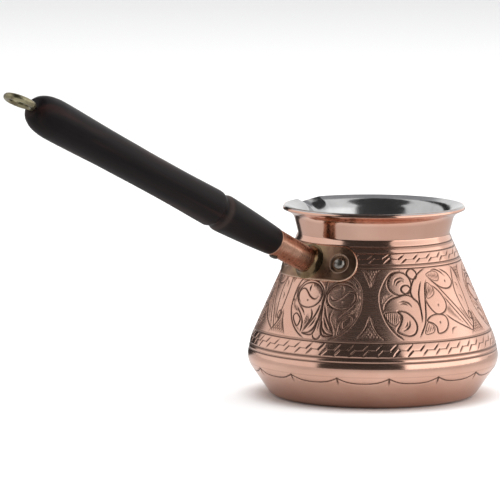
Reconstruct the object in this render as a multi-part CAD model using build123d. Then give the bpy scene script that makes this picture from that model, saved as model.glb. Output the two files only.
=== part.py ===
from build123d import *
import os
from math import cos, radians, sin, tan

os.makedirs("parts", exist_ok=True)

# A hand-raised copper coffee pot with a turned wooden handle.  Millimetres.  Z is up, the pot
# stands on z = 0 with its axis on Z, the handle points along -X and the spout along +Y.

# Pot, as seen from outside
base_corner_radius = 38.9        # where the base and the lower side would meet if they were sharp
lower_lean = 35                  # lower side, degrees from upright, opening upwards
wall_lean = 23.9                 # long conical wall, degrees from upright, closing upwards
shoulder_height = 22.0           # where the wall bends over towards the belly
shoulder_lean = 10               # short stretch between belly and shoulder, closing upwards
neck_radius = 29.0               # narrowest place
neck_height = 62.3
neck_lean = 14                   # throat above the neck, degrees from upright, opening upwards
throat_height = 69.5             # where the throat turns out into the rim
rim_radius = 35.0
rim_rise = 25                    # rim, degrees above level
base_round = 4.0
belly_round = 8.0
shoulder_round = 22.0
neck_round = 1.2
throat_round = 4.0
copper = 1.5                     # sheet thickness
tin = 0.25                       # lining thickness
sheet_gap = 0.02                 # between faces that lie on each other

# Spout, pressed out of the rim
spout_foot = (27.5, 62.5)        # distance from the pot's axis, height
spout_tip = (38.8, 70.3)
spout_half_angle = 35
spout_edge_fall = 22             # how the lip falls towards the tip, degrees
spout_edge_start = 33.0          # distance from the pot's axis
spout_turn = 5                   # from +Y towards the handle

# Handle plate, riveted to the conical wall
plate_height = 53.4              # its middle, on the wall
plate_half_width = 7.0
plate_thickness = 1.2
rivet_angle = 24                 # each side of the handle, about the pot's axis
rivet_shank_radius = 1.5
rivet_head_radius = 2.2
rivet_head_height = 1.3
rivet_tail_radius = 2.4
rivet_tail_height = 0.8
rivet_tail_gap = 0.1             # a flat seat stands this far off the hollow wall

# Handle, measured along its own axis from the face of the plate
handle_rise = 26                 # degrees above level
socket_length = 20.4
socket_foot_radius = 4.8
socket_mouth_radius = 5.2
socket_bore_radius = 4.15
braze_radius = 7.0
braze_height = 2.0
tenon_length = 16.0
wood_length = 129.8
shoulder_radius = 5.4
collar_place = 28.4              # all places on the wood are measured from the mouth of the socket
collar_radius = 7.15
groove_place = 31.8
groove_half_width = 2.0
groove_depth = 0.95
waist_place = 68.8
waist_radius = 6.8
swell_place = 118.0
swell_radius = 7.6
end_flat_radius = 3.2

# Screw through the underside of the socket
screw_place = 3.0                # back from the mouth of the socket
screw_head_radius = 1.7
screw_head_height = 0.7
screw_shank_radius = 0.8
screw_length = 5.0

# Screw eye in the end of the wood
eye_wire_radius = 1.25
eye_ring_radius = 4.9            # to the middle of the wire
eye_hole_radius = 3.8            # worn to a short straight bore
eye_reach = 6.3                  # from the end of the wood to the middle of the ring
eye_shank_depth = 14.0


def wall_radius(height):
    """Outer radius of the conical wall."""
    return neck_radius + tan(radians(wall_lean)) * (neck_height - height)


def belly_corner():
    """Where the lower side and the stretch below the shoulder would meet if they were sharp."""
    lower = tan(radians(lower_lean))
    upper = tan(radians(shoulder_lean))
    gap = wall_radius(shoulder_height) + upper * shoulder_height - base_corner_radius
    height = gap / (lower + upper)
    return Vector(base_corner_radius + lower * height, height)


def outer_corners():
    throat_radius = neck_radius + tan(radians(neck_lean)) * (throat_height - neck_height)
    rim_width = rim_radius - throat_radius
    return [
        Vector(0, 0),
        Vector(base_corner_radius, 0),
        belly_corner(),
        Vector(wall_radius(shoulder_height), shoulder_height),
        Vector(neck_radius, neck_height),
        Vector(throat_radius, throat_height),
        Vector(rim_radius, throat_height + rim_width * tan(radians(rim_rise))),
    ]


def left_of(start, end):
    """Unit vector to the left of the way from start to end."""
    step = (end - start).normalized()
    return Vector(-step.Y, step.X)


def inset_corners(corners, depth):
    """The corners of the parallel outline that lies to the left of this one."""
    normals = [left_of(a, b) for a, b in zip(corners, corners[1:])]
    inset = [corners[0] + normals[0] * depth]
    for corner, before, after in zip(corners[1:], normals, normals[1:]):
        inset.append(corner + (before + after) * (depth / (1 + before.dot(after))))
    return inset + [corners[-1] + normals[-1] * depth]


def turned(face):
    return revolve(Plane.XZ * face, Axis.Z)


def pot_body(depth, skin=0):
    """The solid inside the pot's outline at this depth below its outer surface.

    Its rim ends square, over one skin thickness, and it is closed level with that edge.
    """
    corners = inset_corners(outer_corners(), depth)
    edge = inset_corners(outer_corners(), depth + skin)[-1]
    hollow_rounds = [base_round, belly_round, shoulder_round]
    outward_rounds = [neck_round, throat_round]
    rounds = [size - depth for size in hollow_rounds] + [size + depth for size in outward_rounds]
    outline = FilletPolyline(*corners, radius=rounds)
    square_edge = [edge] if skin else []
    closing = Polyline(corners[-1], *square_edge, Vector(0, edge.Y), corners[0])
    return turned(make_face([outline, closing]))


def rim_top():
    return inset_corners(outer_corners(), copper)[-1].Y


def spout_body(depth):
    """A cone lying in the rim, whose lowest line runs from the neck out to the tip of the spout."""
    foot = Vector(*spout_foot)
    step = Vector(*spout_tip) - foot
    floor_angle = Vector(1, 0).get_angle(step)
    axis_angle = radians(floor_angle + spout_half_angle)
    along = Vector(0, cos(axis_angle), sin(axis_angle))
    start = Vector(0, foot.X, foot.Y) + along * (depth / sin(radians(spout_half_angle)))
    height = 2 * step.length
    end_radius = height * tan(radians(spout_half_angle))
    cone = Plane(start, x_dir=(1, 0, 0), z_dir=along) * round_bar(0.01, 0, height, end_radius)
    return Rot(0, 0, spout_turn) * cone


def trimmed_spout(depth):
    """The spout's cone, cut off level with the rim and then falling towards the tip."""
    size = 200
    block = Box(size, size, size, align=(Align.CENTER, Align.CENTER, Align.MIN))
    level = Pos(0, 0, rim_top()) * block
    edge = Pos(0, spout_edge_start, rim_top()) * Rot(-spout_edge_fall, 0, 0)
    return spout_body(depth) - level - Rot(0, 0, spout_turn) * edge * block


def wall_frame(angle, lift=0):
    """Frame on the conical wall at the plate's middle, turned by angle from the handle.

    Its z axis points straight out of the wall.
    """
    place = Pos(wall_radius(plate_height), 0, plate_height) * Rot(0, 90 - wall_lean, 0)
    return Rot(0, 0, 180 + angle) * place * Pos(0, 0, lift)


def strip(half_width, bottom, top, half_angle):
    """A band wrapped on the conical wall between two heights above it."""
    lean = radians(wall_lean)
    along = Vector(-sin(lean), cos(lean)) * half_width
    out = Vector(cos(lean), sin(lean))
    middle = Vector(wall_radius(plate_height), plate_height)
    corners = [
        middle - along + out * bottom,
        middle + along + out * bottom,
        middle + along + out * top,
        middle - along + out * top,
    ]
    section = Plane.XZ * make_face(Polyline(*corners, close=True))
    return Rot(0, 0, 180 - half_angle) * revolve(section, Axis.Z, 2 * half_angle)


def handle_frame():
    """Frame at the foot of the handle: z along the handle, x level, y towards the underside."""
    rise = radians(handle_rise)
    along = Vector(-cos(rise), 0, sin(rise))
    foot = wall_frame(0, plate_thickness).position
    return Plane(foot, x_dir=(0, 1, 0), z_dir=along)


def round_bar(radius, start, end, end_radius=None):
    """A bar along z, straight or tapered."""
    standing = (Align.CENTER, Align.CENTER, Align.MIN)
    if end_radius is None:
        return Pos(0, 0, start) * Cylinder(radius, end - start, align=standing)
    return Pos(0, 0, start) * Cone(radius, end_radius, end - start, align=standing)


def dome(radius, height):
    """A domed head standing on z = 0."""
    arc = RadiusArc((radius, 0), (0, height), -(radius**2 + height**2) / (2 * height))
    sides = Polyline((0, height), (0, 0), (radius, 0))
    return turned(make_face([arc, sides]))


def rivet(angle):
    frame = wall_frame(angle)
    inside = -(copper + sheet_gap + tin + rivet_tail_gap)
    shank = round_bar(rivet_shank_radius, inside, plate_thickness)
    head = Pos(0, 0, plate_thickness) * dome(rivet_head_radius, rivet_head_height)
    tail = Pos(0, 0, inside) * Rot(180, 0, 0) * dome(rivet_tail_radius, rivet_tail_height)
    return frame * (shank + head + tail)


def rivet_hole(angle):
    return wall_frame(angle) * round_bar(rivet_shank_radius, -10, 10)


def drilled(solid):
    for angle in (-rivet_angle, rivet_angle):
        solid -= rivet_hole(angle)
    return solid


def pot_shell():
    outside = pot_body(0, copper) + trimmed_spout(0)
    return drilled(outside - pot_body(copper) - spout_body(copper))


def tin_lining():
    face = copper + sheet_gap
    outside = pot_body(face, tin) + trimmed_spout(face)
    return drilled(outside - pot_body(face + tin) - spout_body(face + tin))


def handle_plate():
    middle = strip(plate_half_width, sheet_gap, plate_thickness, rivet_angle)
    long_strip = strip(plate_half_width, sheet_gap, plate_thickness, 2 * rivet_angle)
    plate = middle
    for angle in (-rivet_angle, rivet_angle):
        lobe = wall_frame(angle) * round_bar(plate_half_width, -5, 5)
        plate += long_strip & lobe
    return drilled(plate)


def under_handle():
    """Everything inside the plate's outer face, which the socket and its braze are cut to."""
    return strip(3 * plate_half_width, -15, plate_thickness, 2 * rivet_angle)


def screw_parts():
    """The screw and the hole it makes, in the handle's frame."""
    place = Pos(0, socket_mouth_radius, socket_length - screw_place) * Rot(-90, 0, 0)
    shank = place * round_bar(screw_shank_radius, -screw_length, 0.0)
    head = place * (Pos(0, 0, -0.1) * dome(screw_head_radius, screw_head_height))
    return head + shank, shank


def socket_outside():
    return round_bar(socket_foot_radius, -6, socket_length, socket_mouth_radius)


def handle_socket():
    bore = round_bar(socket_bore_radius, -6, socket_length)
    screw, shank = screw_parts()
    tube = socket_outside() - bore - screw - shank
    return handle_frame() * tube - under_handle()


def braze_fillet():
    slope = (braze_radius - socket_foot_radius) / braze_height
    skirt = round_bar(braze_radius + 4 * slope, -4, braze_height, socket_foot_radius)
    return handle_frame() * (skirt - socket_outside()) - under_handle()


def wood_handle():
    collar = Vector(collar_radius, collar_place)
    groove = Vector(collar_radius - groove_depth, groove_place)
    grip = Vector(collar_radius, groove_place + groove_half_width)
    swell = Vector(swell_radius, swell_place)
    middle = Vector((shoulder_radius + collar_radius) / 2 + 0.1, collar_place / 2)
    taper = ThreePointArc((shoulder_radius, 0), middle, collar)
    cut = Polyline(collar, (collar_radius, groove_place - groove_half_width), groove, grip)
    belly = ThreePointArc(grip, (waist_radius, waist_place), swell)
    nose = ThreePointArc(
        swell,
        (swell_radius * 0.78, swell_place + 0.74 * (wood_length - swell_place)),
        (end_flat_radius, wood_length),
    )
    closing = Polyline(
        (end_flat_radius, wood_length),
        (0, wood_length),
        (0, -tenon_length),
        (socket_bore_radius, -tenon_length),
        (socket_bore_radius, 0),
        (shoulder_radius, 0),
    )
    wood = Pos(0, 0, socket_length) * turned(make_face([taper, cut, belly, nose, closing]))
    screw, shank = screw_parts()
    return handle_frame() * (wood - shank - eye_shank())


def socket_screw():
    screw, shank = screw_parts()
    return handle_frame() * screw


def eye_shank():
    end = socket_length + wood_length
    return round_bar(eye_wire_radius, end - eye_shank_depth, end + eye_reach - eye_ring_radius)


def hanging_eye():
    place = Pos(0, 0, socket_length + wood_length + eye_reach) * Rot(90, 0, 0)
    ring = place * Torus(eye_ring_radius, eye_wire_radius)
    hole = place * Cylinder(eye_hole_radius, 4 * eye_wire_radius)
    return handle_frame() * (ring + eye_shank() - hole)


nodes = {
    "pot_shell": pot_shell(),
    "tin_lining": tin_lining(),
    "handle_plate": handle_plate(),
    "handle_socket": handle_socket(),
    "braze_fillet": braze_fillet(),
    "rivet_left": rivet(-rivet_angle),
    "rivet_right": rivet(rivet_angle),
    "wood_handle": wood_handle(),
    "socket_screw": socket_screw(),
    "hanging_eye": hanging_eye(),
}

for name, shape in nodes.items():
    export_step(shape, f"parts/{name}.step")
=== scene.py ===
from math import atan2, cos, exp, pi, radians, sin, sqrt, tan

import bpy
import numpy as np
from mathutils import Matrix, Vector, noise


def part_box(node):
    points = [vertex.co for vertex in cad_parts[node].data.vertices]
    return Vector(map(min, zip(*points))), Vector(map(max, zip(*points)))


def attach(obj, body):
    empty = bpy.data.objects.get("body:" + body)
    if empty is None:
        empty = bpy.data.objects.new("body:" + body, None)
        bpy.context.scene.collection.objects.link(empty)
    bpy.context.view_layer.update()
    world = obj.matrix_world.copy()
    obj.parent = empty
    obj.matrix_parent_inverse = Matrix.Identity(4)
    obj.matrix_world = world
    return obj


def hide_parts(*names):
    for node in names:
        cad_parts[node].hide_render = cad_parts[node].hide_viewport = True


# A hand-raised, engraved copper coffee pot.  Z up, the pot's axis on Z, the handle along -X and
# rising, the spout along +Y but turned a little towards the handle.  Shapes are written in
# millimetres and degrees, and make_piece turns them into metres.  Camera, lamp, floor and materials
# are in metres.

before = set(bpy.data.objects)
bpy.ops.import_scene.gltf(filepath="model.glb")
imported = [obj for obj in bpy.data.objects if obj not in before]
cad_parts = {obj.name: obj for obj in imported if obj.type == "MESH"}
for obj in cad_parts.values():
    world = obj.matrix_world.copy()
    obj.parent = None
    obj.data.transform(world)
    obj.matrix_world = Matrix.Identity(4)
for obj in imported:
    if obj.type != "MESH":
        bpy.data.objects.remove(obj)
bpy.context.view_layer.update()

MM = 0.001

# Pot outline, the same as the CAD part's
BASE_CORNER = 38.9
LOWER_LEAN = 35
WALL_LEAN = 23.9
SHOULDER_HEIGHT = 22.0
SHOULDER_LEAN = 10
NECK_RADIUS = 29.0
NECK_HEIGHT = 62.3
NECK_LEAN = 14
THROAT_HEIGHT = 69.5
RIM_RADIUS = 35.0
RIM_RISE = 25
ROUNDS = (4.0, 8.0, 22.0, -1.2, -4.0)    # corner radii, negative where the outline turns outwards
BELLY_START = 47                         # radius from which the outline is left true
COPPER = 1.5
TIN_FACE = 1.52                          # depth of the lining's outer face below the pot's
TIN = 0.25
LIP_ROUNDNESS = 0.35
TIN_OVER_LIP = 1.85                      # turn round the lip where the tin's edge lies, pi at the lining

# Spout, pressed out of the rim
SPOUT_START = 62.8
SPOUT_TURN = 5                           # from +Y towards the handle
SPOUT_REACH = 3.4
SPOUT_DROP = 1.35
SPOUT_HALF_WIDTH = 11.5                  # degrees about the pot's axis

# Handle plate and rivets
PLATE_HEIGHT = 53.4                      # of its middle, where the handle's axis meets the wall
PLATE_HALF_WIDTH = 7.0
PLATE_THICKNESS = 1.2
PLATE_GAP = 0.02
RIVET_ANGLE = 24
RIVET_SHANK = 1.5
RIVET_HEAD = 2.2
RIVET_HEAD_HEIGHT = 1.3
RIVET_TAIL = 2.4
RIVET_TAIL_HEIGHT = 0.8
RIVET_GRIP = 1.87                        # pot wall, lining and seat under the plate

# Handle, measured along its own axis from the plate
HANDLE_RISE = 26
SOCKET_LENGTH = 20.4
SOCKET_FOOT = 4.8
SOCKET_MOUTH = 5.2
SOCKET_BORE = 4.15
BRAZE_RADIUS = 7.0
BRAZE_HEIGHT = 2.0
TENON = 16.0
WOOD_LENGTH = 129.8
SCREW_PLACE = 3.0

# Screw eye in the end of the wood
EYE_WIRE = 1.25
EYE_RING = 4.9
EYE_REACH = 6.3
EYE_SHANK = 14.0

CAMERA_AZIMUTH = -42.26
CAMERA_ELEVATION = 6.974
CAMERA_ROLL = 0.213
CAMERA_DISTANCE = 1.8
CAMERA_AIM_ALONG = -0.047223             # to the right of the pot's axis
CAMERA_AIM_HEIGHT = 0.055096             # above the base
CAMERA_LENS = 339.1

POT_FRONT = 227.74                       # direction from the pot's axis to the camera, degrees

# Brightness of the studio round the pot, by direction: degrees to the right of the camera as seen
# from the pot, and the light from there.  A dark gap lies between two softboxes.
SOFTBOX_LIGHT = 1.65
STUDIO = (
    (-180, 1.0), (-163, 1.0), (-160, 0.03), (-141, 0.03), (-138, 0.88), (-55, 0.88), (-53, 0.05),
    (27.5, 0.05), (29.5, SOFTBOX_LIGHT), (112, SOFTBOX_LIGHT), (118, 1.0), (180, 1.0),
)
# A grey ceiling, round a direction this high on the side away from the camera
CEILING_HEIGHT = 48
CEILING_REACH = 19
CEILING_BLUR = 5
CEILING_LIGHT = (0.36, 0.36, 0.38)
ZENITH_START = 0.70
ZENITH_PULL = 2.6
FLOOR_RADIUS = 14.0
FLOOR_GAP = 0.0001
LAMP_SIZE = 2.6
LAMP_POWER = 60
LAMP_HEIGHT = 2.2

COLUMNS = 1200                           # vertices round the pot
FINE = 0.25                              # spacing of the engraved mesh
ALONG_HANDLE = (0, radians(90 - HANDLE_RISE), 0)
# Heights, in metres, between which the frieze's duller finish sets in and ends
FRIEZE_FOOT = (0.0242, 0.0262)
FRIEZE_TOP = (0.0540, 0.0520)


# ---------------------------------------------------------------- outline and lathe helpers

def wall_radius(height):
    return NECK_RADIUS + tan(radians(WALL_LEAN)) * (NECK_HEIGHT - height)


def pot_corners():
    lower = tan(radians(LOWER_LEAN))
    upper = tan(radians(SHOULDER_LEAN))
    gap = wall_radius(SHOULDER_HEIGHT) + upper * SHOULDER_HEIGHT - BASE_CORNER
    belly = gap / (lower + upper)
    throat = NECK_RADIUS + tan(radians(NECK_LEAN)) * (THROAT_HEIGHT - NECK_HEIGHT)
    rim_height = THROAT_HEIGHT + (RIM_RADIUS - throat) * tan(radians(RIM_RISE))
    return [
        Vector((0, 0)),
        Vector((BASE_CORNER, 0)),
        Vector((BASE_CORNER + lower * belly, belly)),
        Vector((wall_radius(SHOULDER_HEIGHT), SHOULDER_HEIGHT)),
        Vector((NECK_RADIUS, NECK_HEIGHT)),
        Vector((throat, THROAT_HEIGHT)),
        Vector((RIM_RADIUS, rim_height)),
    ]


def inset(corners, depth):
    """Corners of the parallel outline to the left of this one."""
    normals = []
    for start, end in zip(corners, corners[1:]):
        step = (end - start).normalized()
        normals.append(Vector((-step.y, step.x)))
    moved = [corners[0] + normals[0] * depth]
    for corner, before, after in zip(corners[1:], normals, normals[1:]):
        moved.append(corner + (before + after) * (depth / (1 + before.dot(after))))
    return moved + [corners[-1] + normals[-1] * depth]


def rounded(corners, radii, fineness=0.04):
    """Closely spaced points along the outline, its corners rounded."""
    points = [corners[0]]
    for before, corner, after, radius in zip(corners, corners[1:], corners[2:], radii):
        arrive = (corner - before).normalized()
        leave = (after - corner).normalized()
        turn = atan2(arrive.x * leave.y - arrive.y * leave.x, arrive.dot(leave))
        size = abs(radius)
        side = 1 if turn > 0 else -1
        start = corner - arrive * size * tan(abs(turn) / 2)
        centre = start + Vector((-arrive.y, arrive.x)) * size * side
        steps = max(3, int(size * abs(turn) / fineness))
        for i in range(steps + 1):
            points.append(centre + Matrix.Rotation(turn * i / steps, 2) @ (start - centre))
    points.append(corners[-1])
    return np.array([tuple(p) for p in points])


def pot_outline(depth):
    """The pot's outline at this depth below its outer face, as radius and height."""
    radii = []
    for size in ROUNDS:
        radii.append(abs(size) - depth if size > 0 else abs(size) + depth)
    return rounded(inset(pot_corners(), depth), radii)


def resample(outline, spacing):
    """Points along the outline, spaced as spacing(radius, height) says, and their lengths along it."""
    steps = np.hypot(*np.diff(outline, axis=0).T)
    length = np.concatenate([[0], np.cumsum(steps)])
    places = [0.0]
    while places[-1] < length[-1]:
        radius = np.interp(places[-1], length, outline[:, 0])
        height = np.interp(places[-1], length, outline[:, 1])
        places.append(places[-1] + spacing(radius, height))
    places = np.array(places) * (length[-1] / places[-1])
    radii = np.interp(places, length, outline[:, 0])
    heights = np.interp(places, length, outline[:, 1])
    return np.column_stack([radii, heights]), places


def ring_faces(first, count, next_first, next_count):
    """Faces between two rings of vertices.  The rings have equal counts, or one is a whole multiple."""
    if count == next_count:
        i = np.arange(count)
        j = (i + 1) % count
        return np.column_stack([first + i, first + j, next_first + j, next_first + i]).tolist()
    if count < next_count:
        faces = ring_faces(next_first, next_count, first, count)
        return [face[::-1] for face in faces]
    ratio = count // next_count
    faces = []
    for i in range(next_count):
        fine = [first + (i * ratio + k) % count for k in range(ratio + 1)]
        near = next_first + i
        far = next_first + (i + 1) % next_count
        middle = ratio // 2
        for k in range(middle):
            faces.append([fine[k], fine[k + 1], near])
        faces.append([fine[middle], far, near])
        for k in range(middle, ratio):
            faces.append([fine[k], fine[k + 1], far])
    return faces


def stacked_faces(rings, segments, closed=False):
    """Faces between rings that follow one another, and from the last to the first if closed."""
    faces = []
    for ring in range(rings if closed else rings - 1):
        faces += ring_faces(ring * segments, segments, (ring + 1) % rings * segments, segments)
    return faces


def end_fans(rings, segments):
    """Faces that close the first and last ring onto the two vertices after them."""
    first_end = rings * segments
    last = first_end - segments
    faces = []
    for k in range(segments):
        after = (k + 1) % segments
        faces.append([k, first_end, after])
        faces.append([last + k, last + after, first_end + 1])
    return faces


def make_piece(name, vertices, faces, sharp=None):
    """A mesh object from vertices in millimetres."""
    mesh = bpy.data.meshes.new(name)
    mesh.from_pydata((np.asarray(vertices, float) * MM).tolist(), [], faces)
    mesh.validate()
    mesh.shade_smooth()
    if sharp is not None:
        mesh.set_sharp_from_angle(angle=radians(sharp))
    piece = bpy.data.objects.new(name, mesh)
    bpy.context.scene.collection.objects.link(piece)
    return piece


def point_attribute(piece, name, values):
    attribute = piece.data.attributes.new(name, "FLOAT", "POINT")
    attribute.data.foreach_set("value", np.asarray(values, np.float32))


def lathe(profile, segments, placed=None, wobble=None):
    """Vertices and faces of a closed turned solid.  Profile points are radius and height, and both
    ends lie on the axis.  Placed moves a local point into the pot's frame, and wobble changes a
    radius."""
    vertices = []
    rings = profile[1:-1]
    for radius, height in rings:
        for k in range(segments):
            angle = 2 * pi * k / segments
            size = radius if wobble is None else radius + wobble(angle, height, radius)
            vertices.append(Vector((size * cos(angle), size * sin(angle), height)))
    faces = stacked_faces(len(rings), segments)
    for radius, height in (profile[0], profile[-1]):
        vertices.append(Vector((0, 0, height)))
    faces += end_fans(len(rings), segments)
    if placed is not None:
        vertices = [placed @ v for v in vertices]
    return [tuple(v) for v in vertices], faces


def arc(start, end, bulge, steps):
    """Points from start to end on a curve that stands bulge to the left of the straight way."""
    start = Vector(start)
    end = Vector(end)
    across = end - start
    side = Vector((-across.y, across.x)).normalized()
    points = []
    for i in range(steps + 1):
        t = i / steps
        points.append(tuple(start + across * t + side * bulge * 4 * t * (1 - t)))
    return points


def smooth_curve(points, closed=False, steps=8):
    """A Catmull-Rom curve through the points."""
    knots = [np.array(p, float) for p in points]
    if closed:
        knots = [knots[-1]] + knots + knots[:2]
    else:
        knots = [2 * knots[0] - knots[1]] + knots + [2 * knots[-1] - knots[-2]]
    curve = []
    for a, b, c, d in zip(knots, knots[1:], knots[2:], knots[3:]):
        for i in range(steps):
            t = i / steps
            bend = 2 * a - 5 * b + 4 * c - d
            twist = -a + 3 * b - 3 * c + d
            curve.append(0.5 * (2 * b + (c - a) * t + bend * t * t + twist * t ** 3))
    curve.append(knots[-2])
    return np.array(curve)


# ---------------------------------------------------------------- engraving

# A stroke is a line cut into the outer face: points as degrees about the pot's axis and height,
# its width and depth, and whether each end runs out to nothing.
LINE_WIDTH = 0.82
LINE_DEPTH = 0.24
HATCH_WIDTH = 0.42
HATCH_DEPTH = 0.13
MEDALLION_MIDDLE = 21

strokes = []


def cut(points, width=LINE_WIDTH, depth=LINE_DEPTH, closed=False, smooth=True, ends=(True, True)):
    curve = smooth_curve(points, closed) if smooth and len(points) > 2 else np.array(points, float)
    taper = (False, False) if closed else ends
    strokes.append((curve, width, depth, taper))


def oval(angle, height, half_angle, half_height):
    points = []
    for k in range(12):
        turn = 2 * pi * k / 12
        points.append((angle + half_angle * cos(turn), height + half_height * sin(turn)))
    return points


def inside(points, outline):
    """Which points lie inside the closed outline."""
    result = np.zeros(len(points), bool)
    for (x0, y0), (x1, y1) in zip(outline, np.roll(outline, -1, axis=0)):
        if y0 == y1:
            continue
        spans = (points[:, 1] > min(y0, y1)) & (points[:, 1] <= max(y0, y1))
        crossing = x0 + (points[:, 1] - y0) * (x1 - x0) / (y1 - y0)
        result ^= spans & (points[:, 0] < crossing)
    return result


def hatch(points, gap, slant=0.0, smooth=True, width=HATCH_WIDTH, depth=HATCH_DEPTH):
    """Fills the closed outline with parallel cuts gap degrees apart that move slant degrees per mm."""
    outline = smooth_curve(points, closed=True) if smooth else np.array(points, float)
    low, high = outline.min(axis=0), outline.max(axis=0)
    heights = np.arange(low[1], high[1], 0.15)
    reach = abs(slant) * (high[1] - low[1])
    for start in np.arange(low[0] - reach, high[0] + reach, gap):
        line = np.column_stack([start + slant * (heights - low[1]), heights])
        held = inside(line, outline)
        if held.sum() > 3:
            strokes.append((line[held][::3], width, depth, (True, True)))


def placed_points(points, start, flip=False):
    """Points moved start degrees round the pot, and first mirrored in a medallion's middle if flip."""
    if flip:
        points = [(2 * MEDALLION_MIDDLE - angle, height) for angle, height in points]
    return [(start + angle, height) for angle, height in points]


def medallion(start):
    """An oval filled with two facing spiral leaves, start degrees about the axis, 44 degrees wide."""
    half = [
        [(11, 51.4), (5, 48.9), (1.2, 46.6), (-0.4, 44.4), (-0.9, 42), (-0.9, 39.5), (-0.3, 36.8),
         (1.2, 34.4), (3.4, 32), (6.3, 29.8), (10, 27.8), (14, 26.3)],
        [(2.2, 38.9), (1, 42.2), (2, 44.5), (5.6, 46.7), (10.3, 47.4), (15.3, 46.6), (19, 44.6),
         (20.4, 42.2), (20.8, 39.4), (20.6, 36.5), (20.2, 33.6), (19.2, 30.9), (16.8, 28.2)],
        [(6.1, 38.6), (3.4, 40.1), (2.6, 42.3), (4, 43.6), (6.4, 43.8), (8.8, 42.8), (11.3, 41.4),
         (13.9, 40.6), (15.9, 40.7), (17.1, 41.7)],
        [(10.7, 45.7), (10.1, 44.4), (10.4, 43)],
        [(14.3, 37), (15.5, 35.5), (15.6, 33.6), (14.1, 31.5), (12, 28.9)],
        [(4.6, 38.2), (8.7, 36.3), (11, 34.4)],
        [(3.6, 37.6), (8, 34.7), (10.3, 32.5), (11, 30.3), (10.9, 28)],
        [(12, 28.3), (15, 31.6), (17.8, 34.9), (19.6, 38.6)],
        [(15.2, 30), (17.3, 32), (18.6, 34.1)],
        [(6.2, 49.4), (9, 48.4), (13, 48.5), (17, 49.8), (20.5, 51.2)],
    ]
    closed = [
        oval(10.7, 41.8, 8.7, 4.5),
        [(3.5, 33.6), (5, 34.8), (8, 33.6), (8.9, 32.4), (8, 30.4), (5.6, 31.5)],
        [(12.4, 28.1), (16, 28.6), (18.8, 30.6), (19.6, 32.8), (19.4, 30.2), (17.6, 27.8)],
    ]
    dark = [
        [(1.4, 40.6), (2.3, 38.4), (5.4, 36.8), (8, 35.4), (4.6, 35.3), (1.2, 36.6), (0.1, 39)],
        [(12.4, 35.4), (14.6, 34.6), (14.2, 32.4), (11.7, 29.8), (11.7, 32.4)],
        [(2.6, 46.2), (5, 48), (9, 47.8), (6, 47.4), (4, 46.4)],
        [(-0.2, 44), (1.6, 46), (0.6, 43), (0.2, 40), (0.4, 37), (2.4, 34.5), (1.2, 34.6), (-0.6, 38),
         (-0.8, 42)],
        [(3.2, 33), (5, 31.4), (7.6, 29.6), (10.4, 28.4), (9.8, 29.8), (6.6, 30.8), (4.4, 33)],
        [(12.2, 44.9), (15.4, 43.9), (17.6, 42.6), (19.6, 42.4), (18.8, 44), (15.6, 45.9), (12.6, 46.6)],
    ]
    for flip in (False, True):
        for points in half:
            cut(placed_points(points, start, flip))
        for points in closed:
            cut(placed_points(points, start, flip), closed=True)
        for points in dark:
            hatch(placed_points(points, start, flip), 0.75, 0.35)
        cut(placed_points([(10.2, 40.2), (10.5, 39.5)], start, flip), width=0.9)
    cut(placed_points([(18.6, 28.2), (19.4, 26.9), (21, 26.4), (22.6, 26.9), (23.4, 28.2)], start))
    cut(placed_points([(21, 49.6), (21, 44), (21, 36), (21, 29.5)], start), depth=0.1)


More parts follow.
